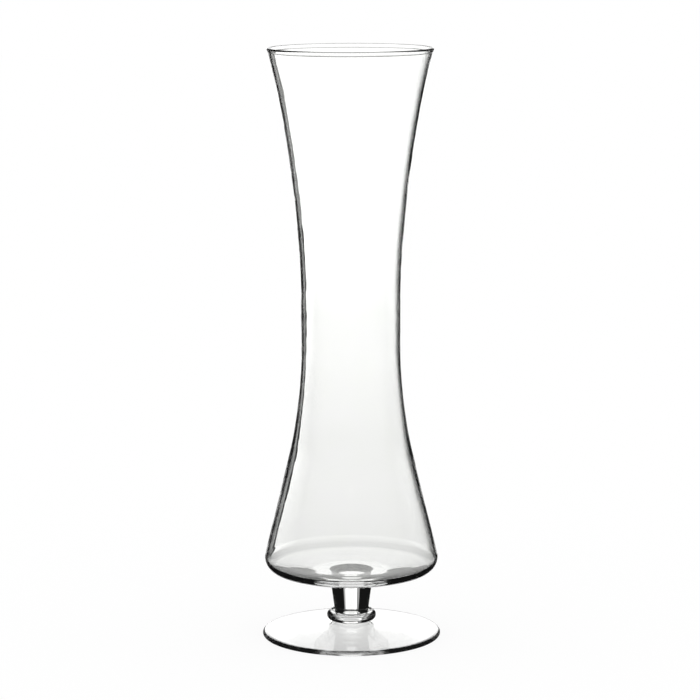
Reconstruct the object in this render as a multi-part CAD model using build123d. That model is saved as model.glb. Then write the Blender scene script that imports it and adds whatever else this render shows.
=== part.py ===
from build123d import *
import os

# A footed glass vase with a drawn-in waist, for growing a bulb over water.
# Four pieces of clear glass, joined hot on one upright axis: a foot, a collar, a short solid stem
# and a blown bowl. Millimetres, +Z up, with the origin at the centre of the foot's resting plane.

# Foot: a thin disc that rises to its middle, hollow underneath so that it stands on a ring
foot_radius = 53.1
foot_edge = 2.6           # thickness at the rounded edge
foot_height = 9.0         # resting plane to the collar's seat
foot_slope = 5.0          # degrees, slope of the top where it leaves the edge
ring_width = 2.3          # flat ring that the foot stands on
hollow_depth = 5.3
hollow_slope = 3.9        # degrees, slope of the underside where it leaves the ring
hollow_flat = 5.0         # radius of the level middle of the underside

# Collar: a bead round the stem's base, with its widest place low and a crest round the stem
collar_radius = 14.85    # at the sharp corner, before the belly is rounded
collar_belly = 3.2        # foot to the widest place
collar_lip = 13.0         # radius where the belly turns under
collar_lip_rise = 0.4
collar_round = 1.8        # rounding of the belly, above and below
crest_radius = 12.1
crest_height = 6.1        # foot to the crest
crest_round = 0.5
collar_face = 11.1        # radius of the flat face on the foot

# Stem: a solid plug, drawn in towards the foot, set in the hollow inside the collar's crest
stem_sink = 4.1           # foot to the stem's lower face
stem_length = 17.9
stem_base_radius = 9.8
stem_top_radius = 12.2

# Bowl: outer radii, and rises one above the other from the stem up
heel_radius = 53.3        # at the sharp corner, before the heel is rounded
heel_rise = 12.8          # top of the stem to the heel corner
heel_round = 9.2
heel_round_inside = 6.4
underside_slope = 6.5     # degrees, slope of the underside where it leaves the stem
flank_rise = 130.7        # heel corner to the lower end of the straight waist
flank_bend = 34.5         # reach of the bend from flank to waist, each way from their corner
waist_radius = 29.4
waist_straight = 17.0     # height of the straight stretch at the waist
flare_rise = 157.3        # upper end of the straight waist to the rim
rim_radius = 48.4
wall = 1.4
lip_round = 1.0           # radius of the fire-polished bead along the rim
floor = 11.3              # thick glass over the stem, level on the inside
floor_ring_inside = 13.5  # low ring left on the floor round the stem's place
floor_ring_outside = 20.5
floor_ring_height = 0.6

# Heights at which one piece rests on another
collar_seat = foot_height
stem_seat = collar_seat + stem_sink
bowl_seat = stem_seat + stem_length

OUTWARD = Vector(1, 0)
INWARD = Vector(-1, 0)


def turned(section):
    """Solid of revolution from a half section drawn as radius and height."""
    return revolve(Plane.XZ * section, axis=Axis.Z)


def rounded(section, corner, radius):
    """Half section with the vertex nearest to this corner rounded."""
    return fillet(section.vertices().sort_by_distance(corner)[0], radius)


def foot():
    """Disc with a full-round edge, a top that sweeps up to the collar and a hollow underside."""
    edge_start = foot_radius - foot_edge / 2
    level = Line((0, hollow_depth), (hollow_flat, hollow_depth))
    ring = Line((edge_start - ring_width, 0), (edge_start, 0))
    hollow = TangentArc(ring @ 0, level @ 1, tangent=INWARD.rotate(Axis.Z, -hollow_slope))
    edge = ThreePointArc(ring @ 1, (foot_radius, foot_edge / 2), (edge_start, foot_edge))
    top = TangentArc(edge @ 1, (collar_face, foot_height), tangent=INWARD.rotate(Axis.Z, -foot_slope))
    seat = Line(top @ 1, (0, foot_height))
    middle = Line(seat @ 1, level @ 0)
    return turned(make_face([level, hollow, ring, edge, top, seat, middle]))


def collar():
    """Bead with a rounded belly and a narrow crest, sunk inside the crest where the stem stands."""
    lip = (collar_lip, collar_seat + collar_lip_rise)
    belly = (collar_radius, collar_seat + collar_belly)
    crest = (crest_radius, collar_seat + crest_height)
    section = make_face(Polyline(
        (0, collar_seat), (collar_face, collar_seat), lip, belly, crest, (stem_base_radius, stem_seat),
        (0, stem_seat), close=True))
    for corner, radius in ((lip, collar_round), (belly, collar_round), (crest, crest_round)):
        section = rounded(section, corner, radius)
    return turned(section)


def stem():
    """Solid round plug, as wide at its top as the seat under the bowl."""
    base = Line((0, stem_seat), (stem_base_radius, stem_seat))
    side = Line(base @ 1, (stem_top_radius, bowl_seat))
    top = Line(side @ 1, (0, bowl_seat))
    middle = Line(top @ 1, base @ 0)
    return turned(make_face([base, side, top, middle]))


def bowl_side(low):
    """Outer face of the bowl from this height on the flank up to the rim, smooth all the way."""
    heel = Vector(heel_radius, bowl_seat + heel_rise)
    waist_low = Vector(waist_radius, heel.Y + flank_rise)
    waist_high = waist_low + Vector(0, waist_straight)
    rim = Vector(rim_radius, waist_high.Y + flare_rise)

    corner = waist_low - Vector(0, flank_bend)
    lean = (corner - heel) / (corner.Y - heel.Y)
    flank = Line(heel + lean * (low - heel.Y), corner - lean.normalized() * flank_bend)
    bend = TangentArc(flank @ 1, waist_low, tangent=flank % 1)
    waist = Line(waist_low, waist_high)
    flare = TangentArc(waist_high, rim, tangent=waist % 1)
    return Wire([flank, bend, waist, flare])


def bowl():
    """Blown body: one even wall from a thick level floor through the waist to a beaded lip."""
    floor_top = bowl_seat + floor
    outside = bowl_side(bowl_seat + heel_rise)
    full_inside = bowl_side(floor_top - wall).offset_2d(wall, side=Side.LEFT, closed=False)
    lean = full_inside % 1 / (full_inside % 1).Y
    inner_heel = full_inside @ 1 + lean * (floor_top - (full_inside @ 1).Y)
    inside = full_inside.trim(full_inside @ 0, inner_heel)

    rim = Line(outside @ 1, inside @ 0)
    seat = Line((0, bowl_seat), (stem_top_radius, bowl_seat))
    underside = TangentArc(seat @ 1, outside @ 0, tangent=OUTWARD.rotate(Axis.Z, underside_slope))
    outer_floor = Line(inner_heel, (floor_ring_outside, floor_top))
    floor_ring = ThreePointArc(
        outer_floor @ 1,
        ((floor_ring_inside + floor_ring_outside) / 2, floor_top + floor_ring_height),
        (floor_ring_inside, floor_top))
    inner_floor = Line(floor_ring @ 1, (0, floor_top))
    middle = Line(inner_floor @ 1, seat @ 0)

    section = make_face([seat, underside, *outside.edges(), rim, *inside.edges(),
                         outer_floor, floor_ring, inner_floor, middle])
    section = rounded(section, outside @ 0, heel_round)
    section = rounded(section, inner_heel, heel_round_inside)
    return turned(section + Pos(*(rim @ 0.5)) * Circle(lip_round))


os.makedirs("parts", exist_ok=True)
for piece in (foot, collar, stem, bowl):
    export_step(piece(), f"parts/{piece.__name__}.step")
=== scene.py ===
import math

import bmesh
import bpy
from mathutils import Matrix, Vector


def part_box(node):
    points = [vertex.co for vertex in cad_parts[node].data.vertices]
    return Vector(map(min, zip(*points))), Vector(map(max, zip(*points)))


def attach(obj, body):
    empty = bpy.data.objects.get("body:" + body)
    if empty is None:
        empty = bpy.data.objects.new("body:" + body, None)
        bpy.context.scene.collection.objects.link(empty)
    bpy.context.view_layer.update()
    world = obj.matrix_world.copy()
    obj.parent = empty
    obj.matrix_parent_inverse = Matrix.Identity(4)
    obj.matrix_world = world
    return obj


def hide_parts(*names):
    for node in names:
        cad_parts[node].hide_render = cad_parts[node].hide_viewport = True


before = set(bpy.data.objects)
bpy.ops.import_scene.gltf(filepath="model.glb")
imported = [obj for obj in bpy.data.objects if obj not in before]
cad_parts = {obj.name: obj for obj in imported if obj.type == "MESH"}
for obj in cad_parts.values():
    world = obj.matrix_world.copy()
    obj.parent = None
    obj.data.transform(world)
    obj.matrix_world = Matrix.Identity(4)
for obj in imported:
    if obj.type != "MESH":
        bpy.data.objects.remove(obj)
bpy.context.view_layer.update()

# A footed vase of clear glass with a drawn-in waist. Metres, +Z up, the origin under the foot's middle.


# Foot: a thin disc of clear glass, cast on hot and spread out on the turning pipe, so that its top
# sweeps up to the collar in faint rings. The edge is fire-polished all round, and the underside is
# hollow, so that the foot stands on a narrow ring.
foot_radius = -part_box("foot")[0].x
collar_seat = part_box("foot")[1].z
foot_edge = 0.0026
edge_round = foot_edge / 2
ring_width = 0.0023
ring_inside = foot_radius - edge_round - ring_width
ring_round = 0.0010
hollow_depth = 0.0068
hollow_bend = (0.0306, 0.0013, 0.0160)
top_bend = (0.03123, 0.00440, 0.0176)
collar_face = 0.0111

ROUND_STEPS = 12
TURN_STEPS = 256


def turned(section, steps=ROUND_STEPS, spacing=0.006):
    """Closed body of revolution from a half section of corners: radius, height and reach of the rounding."""
    bm = bmesh.new()
    corners = [bm.verts.new((radius, 0, height)) for radius, height, reach in section]
    for start, end in zip(corners, corners[1:]):
        bm.edges.new((start, end))
    for corner, (radius, height, reach) in zip(corners, section):
        if reach:
            bmesh.ops.bevel(bm, geom=[corner], offset=reach, offset_type="OFFSET", affect="VERTICES",
                            segments=steps, profile=0.5, material=-1)
    for edge in [edge for edge in bm.edges if edge.calc_length() > spacing]:
        bmesh.ops.subdivide_edges(bm, edges=[edge], cuts=int(edge.calc_length() / spacing))
    bmesh.ops.spin(bm, geom=bm.verts[:] + bm.edges[:], cent=(0, 0, 0), axis=(0, 0, 1), angle=math.tau,
                   steps=TURN_STEPS, use_merge=True)
    bmesh.ops.remove_doubles(bm, verts=bm.verts, dist=1e-6)
    bmesh.ops.recalc_face_normals(bm, faces=bm.faces)
    return bm


def fused(bm, height, radius):
    """Marks the flat faces at this height, where the glass has flowed together with the next piece."""
    for face in bm.faces:
        middle = face.calc_center_median()
        if abs(middle.z - height) < 1e-6 and middle.xy.length < radius:
            face.material_index = 1


def finished(name, bm, node, glass):
    """The piece as an object with smooth faces, in the place of its CAD node."""
    mesh = bpy.data.meshes.new(name)
    bm.to_mesh(mesh)
    bm.free()
    mesh.shade_smooth()
    mesh.set_sharp_from_angle(angle=math.radians(30))
    mesh.materials.append(glass)
    mesh.materials.append(fused_joint)
    piece = bpy.data.objects.new(name, mesh)
    bpy.context.collection.objects.link(piece)
    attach(piece, "root")
    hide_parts(node)


def worked_surface_group():
    """Marks of hot working: waves and streaks in the surface, and a trace of haze and of tint."""
    group = bpy.data.node_groups.new("worked_surface", "ShaderNodeTree")
    sockets = group.interface
    for label in ("Round", "Out", "Up", "Haze"):
        sockets.new_socket(label, in_out="INPUT", socket_type="NodeSocketFloat")
    sockets.new_socket("Tint", in_out="INPUT", socket_type="NodeSocketColor")
    sockets.new_socket("Colour", in_out="OUTPUT", socket_type="NodeSocketColor")
    for label in ("Roughness", "Height"):
        sockets.new_socket(label, in_out="OUTPUT", socket_type="NodeSocketFloat")
    nodes, links = group.nodes, group.links
    given = nodes.new("NodeGroupInput")
    result = nodes.new("NodeGroupOutput")
    place = nodes.new("ShaderNodeTexCoord")
    parts = nodes.new("ShaderNodeSeparateXYZ")
    links.new(place.outputs["Object"], parts.inputs[0])

    level = nodes.new("ShaderNodeCombineXYZ")
    links.new(parts.outputs["X"], level.inputs["X"])
    links.new(parts.outputs["Y"], level.inputs["Y"])
    radius = nodes.new("ShaderNodeVectorMath")
    radius.operation = "LENGTH"
    links.new(level.outputs[0], radius.inputs[0])
    bearing = nodes.new("ShaderNodeVectorMath")
    bearing.operation = "NORMALIZE"
    links.new(level.outputs[0], bearing.inputs[0])
    around = nodes.new("ShaderNodeVectorMath")
    around.operation = "SCALE"
    links.new(bearing.outputs[0], around.inputs[0])
    links.new(given.outputs["Round"], around.inputs["Scale"])

    outward = nodes.new("ShaderNodeMath")
    outward.operation = "MULTIPLY"
    links.new(radius.outputs["Value"], outward.inputs[0])
    links.new(given.outputs["Out"], outward.inputs[1])
    along = nodes.new("ShaderNodeMath")
    along.operation = "MULTIPLY_ADD"
    links.new(parts.outputs["Z"], along.inputs[0])
    links.new(given.outputs["Up"], along.inputs[1])
    links.new(outward.outputs[0], along.inputs[2])
    lift = nodes.new("ShaderNodeCombineXYZ")
    links.new(along.outputs[0], lift.inputs["Z"])
    turned_place = nodes.new("ShaderNodeVectorMath")
    turned_place.operation = "ADD"
    links.new(around.outputs[0], turned_place.inputs[0])
    links.new(lift.outputs[0], turned_place.inputs[1])

    waves = nodes.new("ShaderNodeTexNoise")
    waves.inputs["Scale"].default_value = 1.0
    waves.inputs["Detail"].default_value = 2.0
    links.new(turned_place.outputs[0], waves.inputs["Vector"])
    links.new(waves.outputs[0], result.inputs["Height"])

    clouds = nodes.new("ShaderNodeTexNoise")
    clouds.inputs["Scale"].default_value = 60.0
    clouds.inputs["Detail"].default_value = 3.0
    links.new(place.outputs["Object"], clouds.inputs["Vector"])
    haze = nodes.new("ShaderNodeMath")
    haze.operation = "MULTIPLY"
    links.new(clouds.outputs[0], haze.inputs[0])
    links.new(given.outputs["Haze"], haze.inputs[1])
    links.new(haze.outputs[0], result.inputs["Roughness"])
    tint = nodes.new("ShaderNodeMix")
    tint.data_type = "RGBA"
    tint.inputs["A"].default_value = (1.0, 1.0, 1.0, 1.0)
    links.new(clouds.outputs[0], tint.inputs["Factor"])
    links.new(given.outputs["Tint"], tint.inputs["B"])
    links.new(tint.outputs["Result"], result.inputs["Colour"])
    return group


worked_surface = worked_surface_group()


def clear_glass(name, around, out, up, wave_height, haze=0.004, tint=(0.985, 0.992, 0.975, 1.0)):
    """Colourless soda glass with this piece's own marks of working."""
    material = bpy.data.materials.new(name)
    material.use_nodes = True
    nodes, links = material.node_tree.nodes, material.node_tree.links
    shader = nodes["Principled BSDF"]
    shader.inputs["IOR"].default_value = 1.52
    shader.inputs["Transmission Weight"].default_value = 1.0
    marks = nodes.new("ShaderNodeGroup")
    marks.node_tree = worked_surface
    marks.inputs["Round"].default_value = around
    marks.inputs["Out"].default_value = out
    marks.inputs["Up"].default_value = up
    marks.inputs["Haze"].default_value = haze
    marks.inputs["Tint"].default_value = tint
    bump = nodes.new("ShaderNodeBump")
    bump.inputs["Strength"].default_value = 1.0
    bump.inputs["Distance"].default_value = wave_height
    links.new(marks.outputs["Colour"], shader.inputs["Base Color"])
    links.new(marks.outputs["Roughness"], shader.inputs["Roughness"])
    links.new(marks.outputs["Height"], bump.inputs["Height"])
    links.new(bump.outputs["Normal"], shader.inputs["Normal"])
    return material


fused_joint = bpy.data.materials.new("fused_joint")
fused_joint.use_nodes = True
fused_joint.node_tree.nodes["Principled BSDF"].inputs["Alpha"].default_value = 0.0

foot = turned([
    (0.0, hollow_depth, 0),
    hollow_bend,
    (ring_inside, 0.0, ring_round),
    (foot_radius, 0.0, edge_round),
    (foot_radius, foot_edge, edge_round),
    top_bend,
    (collar_face, collar_seat, 0),
    (0.0, collar_seat, 0),
])
fused(foot, collar_seat, collar_face)
spun_foot_glass = clear_glass("spun_foot_glass", around=1.5, out=160, up=0, wave_height=0.00002)
finished("cast_foot", foot, "foot", spun_foot_glass)


# Collar: a bead of hot clear glass laid round the stem's base where it stands on the foot, with a round
# belly and a narrow crest. It is tooled while the vase turns, which leaves fine grooves round it.
stem_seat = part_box("stem")[0].z
stem_base_radius = 0.0098
belly_radius = 0.0146
crest_radius = 0.0119
crest_height = collar_seat + 0.0058

collar = turned([
    (0.0, collar_seat, 0),
    (collar_face, collar_seat, 0),
    (belly_radius, collar_seat, 0.0028),
    (belly_radius, crest_height, 0.0026),
    (crest_radius, crest_height, 0.0004),
    (stem_base_radius, stem_seat, 0),
    (0.0, stem_seat, 0),
])
fused(collar, collar_seat, collar_face)
fused(collar, stem_seat, stem_base_radius)
tooled_collar_glass = clear_glass("tooled_collar_glass", around=1.0, out=0, up=900, wave_height=0.00002)
finished("rounded_collar", collar, "collar", tooled_collar_glass)


# Stem: a short solid plug of clear glass, drawn down hot from the bowl's underside. Drawing leaves
# fine upright streaks, and it narrows towards the collar.
bowl_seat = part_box("stem")[1].z
stem_top_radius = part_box("stem")[1].x

stem = turned([
    (0.0, stem_seat, 0),
    (stem_base_radius, stem_seat, 0),
    (stem_top_radius, bowl_seat, 0),
    (0.0, bowl_seat, 0),
], spacing=0.002)
fused(stem, stem_seat, stem_base_radius)
fused(stem, bowl_seat, stem_top_radius)
drawn_stem_glass = clear_glass("drawn_stem_glass", around=9.0, out=0, up=12, wave_height=0.00004)
finished("drawn_stem", stem, "stem", drawn_stem_glass)


# Bowl: the blown body of clear glass, level underneath round the stem, with a round heel, a shallow dished
# floor, a wall that thins upwards to the drawn-in waist, and a flare that ends in a fire-polished bead. It
# was turned while it was blown, so its surface waves slightly.
wall = 0.0014
underside_height = 0.0331
underside_inside = 0.0125
underside_outside = 0.0229
belly_bend = (0.04260, 0.03820, 0.0034)
heel_bend = (0.05324, 0.04208, 0.0078)
waist_radius = 0.0294
waist_inside = waist_radius - wall
flank_end = 0.14000
flare_start = 0.27145
flank_end_inside = 0.13983
flare_start_inside = 0.27162
flare_reach = 0.0682
thick_wall_bend = (0.03856, 0.09400, 0.0095)
low_wall_bend = (0.04370, 0.07400, 0.0090)
heel_bend_inside = (0.05122, 0.04280, 0.0063)
floor_top = bowl_seat + 0.0104
floor_level_radius = 0.0160
lip_centre = Vector((0.04772, 0.34895))
lip_round = 0.0010
flare_lean = math.radians(13.75)


def lip_corner(out, up, reach):
    """Corner of the bead, so far out from the wall's middle line and up along it."""
    across = Vector((math.cos(flare_lean), -math.sin(flare_lean)))
    along = Vector((math.sin(flare_lean), math.cos(flare_lean)))
    return *(lip_centre + across * out + along * up), reach


bowl = turned([
    (0.0, bowl_seat, 0),
    (stem_top_radius, bowl_seat, 0),
    (underside_inside, underside_height, 0.0008),
    (underside_outside, underside_height, 0.0035),
    belly_bend,
    heel_bend,
    (waist_radius, flank_end, 0.0294),
    (waist_radius, flare_start, flare_reach),
    lip_corner(wall / 2, -1.7 * lip_round, 0),
    lip_corner(lip_round, -1.3 * lip_round, 0.3 * lip_round),
    lip_corner(lip_round, lip_round, lip_round),
    lip_corner(-lip_round, lip_round, lip_round),
    lip_corner(-lip_round, -1.3 * lip_round, 0.3 * lip_round),
    lip_corner(-wall / 2, -1.7 * lip_round, 0),
    (waist_inside, flare_start_inside, flare_reach),
    (waist_inside, flank_end_inside, 0.0330),
    thick_wall_bend,
    low_wall_bend,
    heel_bend_inside,
    (floor_level_radius, floor_top, 0.0060),
    (0.0, floor_top, 0),
], steps=24)
fused(bowl, bowl_seat, stem_top_radius)
blown_bowl_glass = clear_glass("blown_bowl_glass", around=2.0, out=0, up=40, wave_height=0.00010)
finished("blown_bowl", bowl, "bowl", blown_bowl_glass)


# Floor: a plain white table that shows to the camera and carries the soft shadow. The glass looks past it to
# the panels.
table_radius = 6.0
table_glow = 0.9

table = bmesh.new()
bmesh.ops.create_circle(table, cap_ends=True, radius=table_radius, segments=64)
table_mesh = bpy.data.meshes.new("white_table")
table.to_mesh(table_mesh)
table.free()
white_table = bpy.data.objects.new("white_table", table_mesh)
bpy.context.collection.objects.link(white_table)
white_table.visible_transmission = False
white_table.visible_glossy = False

table_white = bpy.data.materials.new("table_white")
table_white.use_nodes = True
nodes, links = table_white.node_tree.nodes, table_white.node_tree.links
nodes.remove(nodes["Principled BSDF"])
matt = nodes.new("ShaderNodeBsdfDiffuse")
table_grey = 1 - table_glow
matt.inputs["Color"].default_value = (table_grey, table_grey, table_grey, 1)
glow = nodes.new("ShaderNodeEmission")
glow.inputs["Strength"].default_value = table_glow
both = nodes.new("ShaderNodeAddShader")
links.new(matt.outputs[0], both.inputs[0])
links.new(glow.outputs[0], both.inputs[1])
links.new(both.outputs[0], nodes["Material Output"].inputs["Surface"])
table_mesh.materials.append(table_white)


# Camera: a long lens from 1.7 m, just above the rim and looking a little down.
camera_place = Vector((0.0, -1.67563, 0.44150))
camera_tilt = math.radians(9.134)
camera_roll = math.radians(0.12)
camera_data = bpy.data.cameras.new("camera")
camera_data.lens = 147.87
camera_data.sensor_width = 36.0
camera = bpy.data.objects.new("camera", camera_data)
bpy.context.collection.objects.link(camera)
camera.location = camera_place
camera.rotation_euler = (math.pi / 2 - camera_tilt, camera_roll, 0)
bpy.context.scene.camera = camera


# Light: a white studio all round for the table. The glass sees a dim room and, behind the vase, two
# backlit panels one above the other and a black flag, which draw its edges. They are on the camera's boom.
room_glow = 0.008
panel_distance = 2.70
panel_split = -0.205
flag_gap = 0.01

world = bpy.data.worlds.new("white_studio")
bpy.context.scene.world = world
world.use_nodes = True
nodes, links = world.node_tree.nodes, world.node_tree.links
path = nodes.new("ShaderNodeLightPath")
shown = nodes.new("ShaderNodeMath")
shown.operation = "ADD"
shown.use_clamp = True
links.new(path.outputs["Is Camera Ray"], shown.inputs[0])
links.new(path.outputs["Is Diffuse Ray"], shown.inputs[1])
lit = nodes.new("ShaderNodeMapRange")
lit.inputs["To Min"].default_value = room_glow
links.new(shown.outputs[0], lit.inputs["Value"])
links.new(lit.outputs[0], nodes["Background"].inputs["Strength"])
nodes["Background"].inputs["Color"].default_value = (1, 1, 1, 1)


def faded(tree, axis, levels):
    """Strength of a panel along one axis, from pairs of a place and a level."""
    low, high = levels[0][0], levels[-1][0]
    brightest = max(level for spot, level in levels)
    place = tree.nodes.new("ShaderNodeTexCoord")
    parts = tree.nodes.new("ShaderNodeSeparateXYZ")
    tree.links.new(place.outputs["Object"], parts.inputs[0])
    share = tree.nodes.new("ShaderNodeMapRange")
    share.inputs["From Min"].default_value = low
    share.inputs["From Max"].default_value = high
    tree.links.new(parts.outputs[axis], share.inputs["Value"])
    ramp = tree.nodes.new("ShaderNodeValToRGB")
    tree.links.new(share.outputs[0], ramp.inputs["Fac"])
    stops = ramp.color_ramp.elements
    stops[0].position, stops[1].position = 0.0, 1.0
    for spot, level in levels[1:-1]:
        stops.new((spot - low) / (high - low))
    for stop, (spot, level) in zip(stops, levels):
        stop.color = (level / brightest, level / brightest, level / brightest, 1)
    strength = tree.nodes.new("ShaderNodeMath")
    strength.operation = "MULTIPLY"
    strength.inputs[1].default_value = brightest
    tree.links.new(ramp.outputs["Color"], strength.inputs[0])
    return strength.outputs[0]


def backlit_panel(name, ahead, across, upward):
    """Upright panel that only the glass sees, with its strength along both sides."""
    left, right, low, high = across[0][0], across[-1][0], upward[0][0], upward[-1][0]
    bm = bmesh.new()
    outline = ((left, low), (right, low), (right, high), (left, high))
    bm.faces.new([bm.verts.new((x, y, 0)) for x, y in outline])
    mesh = bpy.data.meshes.new(name)
    bm.to_mesh(mesh)
    bm.free()
    panel = bpy.data.objects.new(name, mesh)
    bpy.context.collection.objects.link(panel)
    panel.parent = camera
    panel.location = (0, 0, ahead - panel_distance)
    panel.visible_camera = False
    panel.visible_diffuse = False
    panel.visible_shadow = False
    light = bpy.data.materials.new(name)
    light.use_nodes = True
    tree = light.node_tree
    tree.nodes.remove(tree.nodes["Principled BSDF"])
    both = tree.nodes.new("ShaderNodeMath")
    both.operation = "MULTIPLY"
    tree.links.new(faded(tree, "X", across), both.inputs[0])
    tree.links.new(faded(tree, "Y", upward), both.inputs[1])
    glow = tree.nodes.new("ShaderNodeEmission")
    tree.links.new(both.outputs[0], glow.inputs["Strength"])
    tree.links.new(glow.outputs[0], tree.nodes["Material Output"].inputs["Surface"])
    mesh.materials.append(light)


backlit_panel(
    "upper_panel", 0.0,
    across=[(-0.305, 0.35), (-0.19, 0.35), (-0.185, 1.7), (-0.15, 1.4), (-0.12, 1.2), (-0.08, 1.0),
            (0.08, 1.0), (0.12, 1.12), (0.15, 1.2), (0.185, 1.2), (0.22, 0.8), (0.26, 0.35), (0.30, 0.0)],
    upward=[(panel_split, 0.97), (-0.178, 0.99), (-0.141, 1.04), (-0.066, 1.11), (0.03, 1.2),
            (0.085, 1.3), (0.20, 1.4), (0.36, 1.3), (0.44, 0.9), (0.85, 0.9)])
backlit_panel(
    "lower_panel", 0.0,
    across=[(-0.305, 1.0), (0.305, 1.0)],
    upward=[(-0.80, 0.95), (-0.40, 0.90), (-0.25, 0.90), (panel_split, 0.97)])
backlit_panel(
    "black_flag", flag_gap,
    across=[(-0.215, 0.004), (-0.185, 0.004)],
    upward=[(-0.27, 1.0), (0.10, 1.0)])

glass_bounces = 64
bpy.context.scene.view_settings.view_transform = "Standard"
bpy.context.scene.cycles.max_bounces = glass_bounces
bpy.context.scene.cycles.transmission_bounces = glass_bounces
bpy.context.scene.cycles.glossy_bounces = glass_bounces
